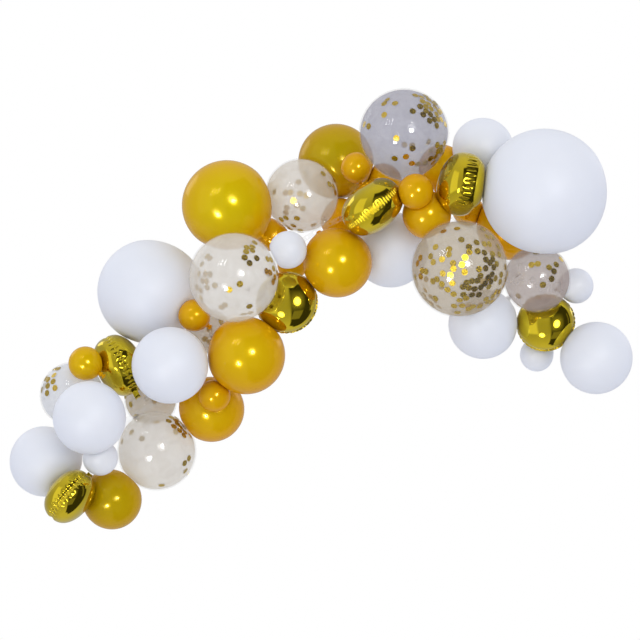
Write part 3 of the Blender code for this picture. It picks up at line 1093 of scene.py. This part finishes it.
@dataclass
class GarlandTape:
    """The clear tape through the middle of the garland, punched with a row of holes for the necks."""

    finish: Finish

    width: float = 16 * MILLIMETRE
    thickness: float = 2 * MILLIMETRE
    cell: float = 14 * MILLIMETRE
    hole_radius: float = 4 * MILLIMETRE
    hole_margin: float = 3 * MILLIMETRE
    steps: int = 12

    # the route that the frame's strip follows, in metres, from its left end to its right one
    ROUTE = (
        (-0.96, 0.0, -0.75), (-0.87, 0.0, -0.68), (-0.76, 0.0, -0.61), (-0.64, 0.0, -0.48),
        (-0.54, 0.0, -0.35), (-0.41, 0.0, -0.2), (-0.28, 0.0, -0.095), (-0.14, 0.0, -0.025),
        (0.0, 0.0, 0.0), (0.15, 0.0, -0.03), (0.29, 0.02, -0.13), (0.385, 0.07, -0.25),
        (0.44, 0.1, -0.33), (0.475, 0.1, -0.375), (0.51, 0.1, -0.415),
    )

    def mesh(self) -> Mesh:
        """Punch a flat tape and lay it along its route.

        Returns:
            The tape's mesh.
        """
        line = smooth_line([Vector(point) for point in self.ROUTE], self.steps)
        marks = [0.0]
        for start, end in zip(line, line[1:]):
            marks.append(marks[-1] + (end - start).length)
        cells = round(marks[-1] / self.cell)
        mesh = bmesh.new()
        stretch = Matrix.Diagonal((marks[-1] / 2, self.width / 2, 1.0, 1.0))
        bmesh.ops.create_grid(mesh, x_segments=cells, y_segments=1, size=1.0, matrix=stretch)
        order = sorted(mesh.faces, key=lambda face: face.calc_center_median().x)
        for face in order[1:-1:2]:
            self.punch(mesh, face)
        bmesh.ops.solidify(mesh, geom=mesh.faces[:], thickness=self.thickness)
        bmesh.ops.recalc_face_normals(mesh, faces=mesh.faces)
        middle = (min(v.co.z for v in mesh.verts) + max(v.co.z for v in mesh.verts)) / 2
        for vert in mesh.verts:
            run = vert.co.x + marks[-1] / 2
            index = min(max(int(np.searchsorted(marks, run)) - 1, 0), len(line) - 2)
            step = line[index + 1] - line[index]
            spot = line[index] + step * ((run - marks[index]) / step.length)
            across = step.cross(Vector((0.0, 1.0, 0.0))).normalized()
            out = across.cross(step).normalized()
            vert.co = spot + across * vert.co.y + out * (vert.co.z - middle)
        bmesh.ops.recalc_face_normals(mesh, faces=mesh.faces)
        # on an arch this thin they can be recalculated inwards, which the volume's sign shows
        if mesh.calc_volume(signed=True) < 0:
            bmesh.ops.reverse_faces(mesh, faces=mesh.faces)
        return mesh

    def punch(self, mesh: Mesh, face: bmesh.types.BMFace) -> None:
        """Cut a round hole in one cell of the flat tape.

        Args:
            mesh: The tape.
            face: The cell, which keeps a margin round the hole.
        """
        centre = face.calc_center_median()
        bmesh.ops.inset_individual(mesh, faces=[face], thickness=self.hole_margin)
        cut = bmesh.ops.subdivide_edges(mesh, edges=face.edges[:], cuts=3)
        for vert in {v for v in cut["geom_inner"] if isinstance(v, bmesh.types.BMVert)} | set(face.verts):
            out = vert.co - centre
            vert.co = centre + out.normalized() * self.hole_radius
        bmesh.ops.delete(mesh, geom=[face], context="FACES_ONLY")

    def dress(self) -> None:
        """Make the tape's piece in place of its solid."""
        piece = make_piece(self.mesh(), "garland_tape", self.finish, Slot.STRIP, "garland_strip")
        piece.data.set_sharp_from_angle(angle=math.radians(40))


# ---------------------------------------------------------------- the studio

class LampShape(Enum):
    """The outlines of the studio's lamps."""

    ROUND = "DISK"
    BOX = "RECTANGLE"


class LampUse(Enum):
    """What a lamp is for: the mirrored spots on latex, the light on matt skins, or both."""

    SPARKLE = "mirrored only"
    FILL = "matt only"
    BOTH = "all"


@dataclass(frozen=True)
class Lamp:
    """One soft lamp: how bright it looks, how big it is and where it stands."""

    name: str
    shape: LampShape
    size: tuple[float, float]
    brightness: float
    place: tuple[float, float, float]
    aim: tuple[float, float, float] = (-0.25, 0.0, -0.35)
    turn: float = 0.0
    colour: str = "ffffff"
    use: LampUse = LampUse.SPARKLE

    def build(self, latex: bpy.types.Collection) -> None:
        """Hang the lamp and aim it.

        Args:
            latex: The pieces that a sparkle lamp lights.
        """
        data = bpy.data.lights.new(self.name, "AREA")
        data.shape = self.shape.value
        data.size, data.size_y = self.size
        area = self.size[0] * self.size[1] * (math.pi / 4 if self.shape is LampShape.ROUND else 1.0)
        data.energy = self.brightness * area * math.pi
        data.color = linear(self.colour)[:3]
        lamp = bpy.data.objects.new(self.name, data)
        lamp.visible_diffuse = self.use is not LampUse.SPARKLE
        lamp.visible_glossy = self.use is not LampUse.FILL
        if self.use is LampUse.SPARKLE:
            # a lamp's bare bulb would burn out the foil, which mirrors the wall's soft lamp heads instead
            lamp.light_linking.receiver_collection = latex
        lamp.location = self.place
        facing = (Vector(self.aim) - Vector(self.place)).to_track_quat("-Z", "Y")
        spin = Matrix.Rotation(math.radians(self.turn), 3, "Z")
        lamp.rotation_euler = (facing.to_matrix() @ spin).to_euler()
        bpy.context.scene.collection.objects.link(lamp)


@dataclass(frozen=True)
class WallPatch:
    """A lighter or darker part of the room's walls, as the shiny skins mirror it.

    Its place and size are angles in degrees, to the right of and above the middle of the camera's side.
    """

    azimuth: float
    elevation: float
    wide: float
    high: float
    level: float
    soft: float = 4.0
    lean: float = 0.0
    round: bool = False

    def lay(self, tree: Tree, azimuth: Node, elevation: Node, below: Node) -> Node:
        """Lay the patch over the brightness of the walls so far.

        Args:
            tree: The world's nodes.
            azimuth: The angle to the right that is looked at.
            elevation: The angle above the horizon that is looked at.
            below: The brightness so far.

        Returns:
            The brightness with the patch.
        """
        upright = add_node(tree, "ShaderNodeMath", {0: elevation, 1: self.lean, 2: azimuth},
                           operation="MULTIPLY_ADD")
        shares = []
        for angle, middle, size in ((upright, self.azimuth + self.lean * self.elevation, self.wide),
                                    (elevation, self.elevation, self.high)):
            off = add_node(tree, "ShaderNodeMath", {0: angle, 1: middle}, operation="SUBTRACT")
            shares.append(add_node(tree, "ShaderNodeMath", {0: off, 1: size / 2}, operation="DIVIDE"))
        if self.round:
            spot = add_node(tree, "ShaderNodeCombineXYZ", dict(enumerate(shares)))
            away = add_node(tree, "ShaderNodeVectorMath", {0: spot}, operation="LENGTH")
            cover = self.mask(tree, away, self.wide)
        else:
            masks = [self.mask(tree, add_node(tree, "ShaderNodeMath", {0: share}, operation="ABSOLUTE"), size)
                     for share, size in zip(shares, (self.wide, self.high))]
            cover = add_node(tree, "ShaderNodeMath", dict(enumerate(masks)), operation="MULTIPLY")
        return add_node(tree, "ShaderNodeMix", {"Factor": cover, "A": below, "B": self.level})

    def mask(self, tree: Tree, away: Node, size: float) -> Node:
        """Fade the patch out at its edge.

        Args:
            tree: The world's nodes.
            away: How far from the patch's middle the look goes, as a share of the way to its edge.
            size: The patch's size that way, in degrees.

        Returns:
            1 inside the patch and 0 outside it.
        """
        ease = self.soft / size
        return add_node(tree, "ShaderNodeMapRange", {
            "Value": away, "From Min": 1 - ease, "From Max": 1 + ease, "To Min": 1.0, "To Max": 0.0})


@dataclass
class Studio:
    """The pale floor, the soft light and the camera."""

    distance: float = 9.0
    view_width: float = 1.984
    view_centre: tuple[float, float] = (-0.248, -0.3565)
    sensor: float = 36.0
    floor_level: float = -3.4
    floor_radius: float = 3.6
    lamps: tuple[Lamp, ...] = (
        Lamp("lamp_right", LampShape.ROUND, (1.3, 1.3), 62.0, (1.9, -6.5, 0.85)),
        Lamp("lamp_left", LampShape.ROUND, (0.9, 0.9), 62.0, (-1.95, -3.9, -2.25)),
        Lamp("tube_one", LampShape.BOX, (0.08, 0.85), 14.0, (-2.10, -1.9, 1.45), turn=-10),
        Lamp("tube_two", LampShape.BOX, (0.08, 0.85), 14.0, (-1.78, -2.1, 1.50), turn=-10),
        Lamp("tube_three", LampShape.BOX, (0.08, 0.85), 14.0, (-1.46, -2.3, 1.55), turn=-10),
        Lamp("front_fill", LampShape.ROUND, (3.0, 3.0), 3.1, (-0.25, -8.0, 0.6), use=LampUse.FILL),
        Lamp("back_left", LampShape.BOX, (2.0, 2.0), 1.0, (-4.0, 3.0, 2.0), use=LampUse.BOTH),
        Lamp("back_right", LampShape.BOX, (2.0, 2.0), 1.0, (3.6, 3.4, 1.6), use=LampUse.BOTH),
    )
    patches: tuple[WallPatch, ...] = (
        WallPatch(50, -10, 96, 136, 0.045, soft=5.0, lean=0.15),
        WallPatch(20, 12, 40, 38, 0.30, soft=20.0),
        WallPatch(25, -28, 34, 28, 0.26, soft=3.0, lean=-0.1),
        WallPatch(78, 8, 8, 50, 0.22, soft=3.0, lean=0.2),
        WallPatch(-58, 12, 44, 60, 1.0, soft=6.0, lean=0.1),
        WallPatch(18, 11, 19, 19, 7.5, soft=5.0, round=True),
        WallPatch(-24, -22, 15, 15, 7.5, soft=4.0, round=True),
    )

    def build(self) -> None:
        """Set up the whole studio."""
        self.add_camera()
        latex = bpy.data.collections.new("lit_by_sparkle_lamps")
        for piece in bpy.data.objects:
            if piece.type == "MESH" and "foil_balloon" not in piece.name:
                latex.objects.link(piece)
        for lamp in self.lamps:
            lamp.build(latex)
        self.add_world()
        self.add_floor()
        bpy.context.scene.view_settings.view_transform = "Standard"

    def add_camera(self) -> None:
        """Stand the camera straight in front of the garland."""
        data = bpy.data.cameras.new("camera")
        data.sensor_width = self.sensor
        data.lens = self.sensor * self.distance / self.view_width
        camera = bpy.data.objects.new("camera", data)
        camera.location = (self.view_centre[0], -self.distance, self.view_centre[1])
        camera.rotation_euler = (math.pi / 2, 0.0, 0.0)
        bpy.context.scene.collection.objects.link(camera)
        bpy.context.scene.camera = camera

    def add_world(self) -> None:
        """Surround the garland with white, even light, and with the walls that its shiny skins mirror."""
        world = bpy.data.worlds.new("studio_room")
        world.use_nodes = True
        tree = world.node_tree
        tree.nodes.clear()
        heading = add_node(tree, "ShaderNodeTexCoord").outputs["Generated"]
        parts = add_node(tree, "ShaderNodeSeparateXYZ", {0: heading})
        even, walls, plain = (
            add_node(tree, "ShaderNodeBackground", {"Color": colour})
            for colour in (self.even_light(tree, parts), self.walls(tree, parts), (1.0, 1.0, 1.0, 1.0)))
        ray = add_node(tree, "ShaderNodeLightPath")
        mirrored = add_node(tree, "ShaderNodeMixShader", {0: ray.outputs["Is Glossy Ray"], 1: even, 2: walls})
        seen = add_node(tree, "ShaderNodeMixShader", {0: ray.outputs["Is Camera Ray"], 1: mirrored, 2: plain})
        add_node(tree, "ShaderNodeOutputWorld", {"Surface": seen})
        bpy.context.scene.world = world

    def even_light(self, tree: Tree, heading: Node) -> Node:
        """Mix the soft light that matt skins are lit by: white from above, a little blue and dim from below.

        Args:
            tree: The world's nodes.
            heading: The parts of the direction that is looked in.

        Returns:
            The light's colour.
        """
        height = add_node(tree, "ShaderNodeMapRange", {"Value": heading.outputs["Z"], "From Min": -0.9,
                                                       "From Max": 0.3})
        return add_node(tree, "ShaderNodeMix", {"Factor": height, "A": linear("d6daea"),
                                                "B": linear("fbfcff")}, data_type="RGBA")

    def walls(self, tree: Tree, heading: Node) -> Node:
        """Paint the walls: light above and below, darker level with the garland, with their patches.

        Args:
            tree: The world's nodes.
            heading: The parts of the direction that is looked in.

        Returns:
            The walls' brightness.
        """
        degrees = 180 / math.pi
        forward = add_node(tree, "ShaderNodeMath", {0: heading.outputs["Y"], 1: -1.0}, operation="MULTIPLY")
        turn = add_node(tree, "ShaderNodeMath", {0: heading.outputs["X"], 1: forward}, operation="ARCTAN2")
        azimuth = add_node(tree, "ShaderNodeMath", {0: turn, 1: degrees}, operation="MULTIPLY")
        rise = add_node(tree, "ShaderNodeMath", {0: heading.outputs["Z"]}, operation="ARCSINE")
        elevation = add_node(tree, "ShaderNodeMath", {0: rise, 1: degrees}, operation="MULTIPLY")
        steep = add_node(tree, "ShaderNodeMath", {0: elevation}, operation="ABSOLUTE")
        light = add_node(tree, "ShaderNodeMapRange", {"Value": steep, "From Min": 15.0, "From Max": 75.0,
                                                      "To Min": 0.5, "To Max": 0.75})
        for patch in self.patches:
            light = patch.lay(tree, azimuth, elevation, light)
        return light

    def add_floor(self) -> None:
        """Lay the round paper floor well under the garland."""
        mesh = bmesh.new()
        bmesh.ops.create_circle(mesh, cap_ends=True, segments=96, radius=self.floor_radius,
                                matrix=Matrix.Translation((0.0, 0.0, self.floor_level)))
        data = bpy.data.meshes.new("studio_floor")
        mesh.to_mesh(data)
        mesh.free()
        data.materials.append(STUDIO_PAPER.material())
        floor = bpy.data.objects.new("studio_floor", data)
        bpy.context.scene.collection.objects.link(floor)
        # the foil mirrors the painted walls all the way down, not the pale paper
        floor.visible_glossy = False


# ---------------------------------------------------------------- the whole garland

def build_balloons(crowd: Crowd) -> None:
    """Dress every balloon, and fill the clear ones with confetti.

    Args:
        crowd: The balloons' seats.
    """
    for number, (node, slot) in enumerate(crowd.slots.items()):
        seat, planes = crowd.seats[node], crowd.planes(node)
        if slot is Slot.FOIL:
            FoilBalloon(node, seat, planes, GOLD_FILM, SEAMS[node].in_metres(), number).dress()
        else:
            finish = GOLD_LIGHT_AND_SHADE.get(node, LATEX_FINISHES[slot])
            LatexBalloon(node, seat, planes, slot, finish).dress(HAZES.get(node))
        if node in CONFETTI:
            ConfettiFill(node, seat, planes, CONFETTI_FILM, CONFETTI[node], number).dress()


def main() -> None:
    logging.basicConfig(level=logging.INFO, format="%(name)s: %(message)s")
    build_balloons(Crowd())
    GarlandTape(CLEAR_TAPE).dress()
    Studio().build()


if __name__ == "__main__":
    main()
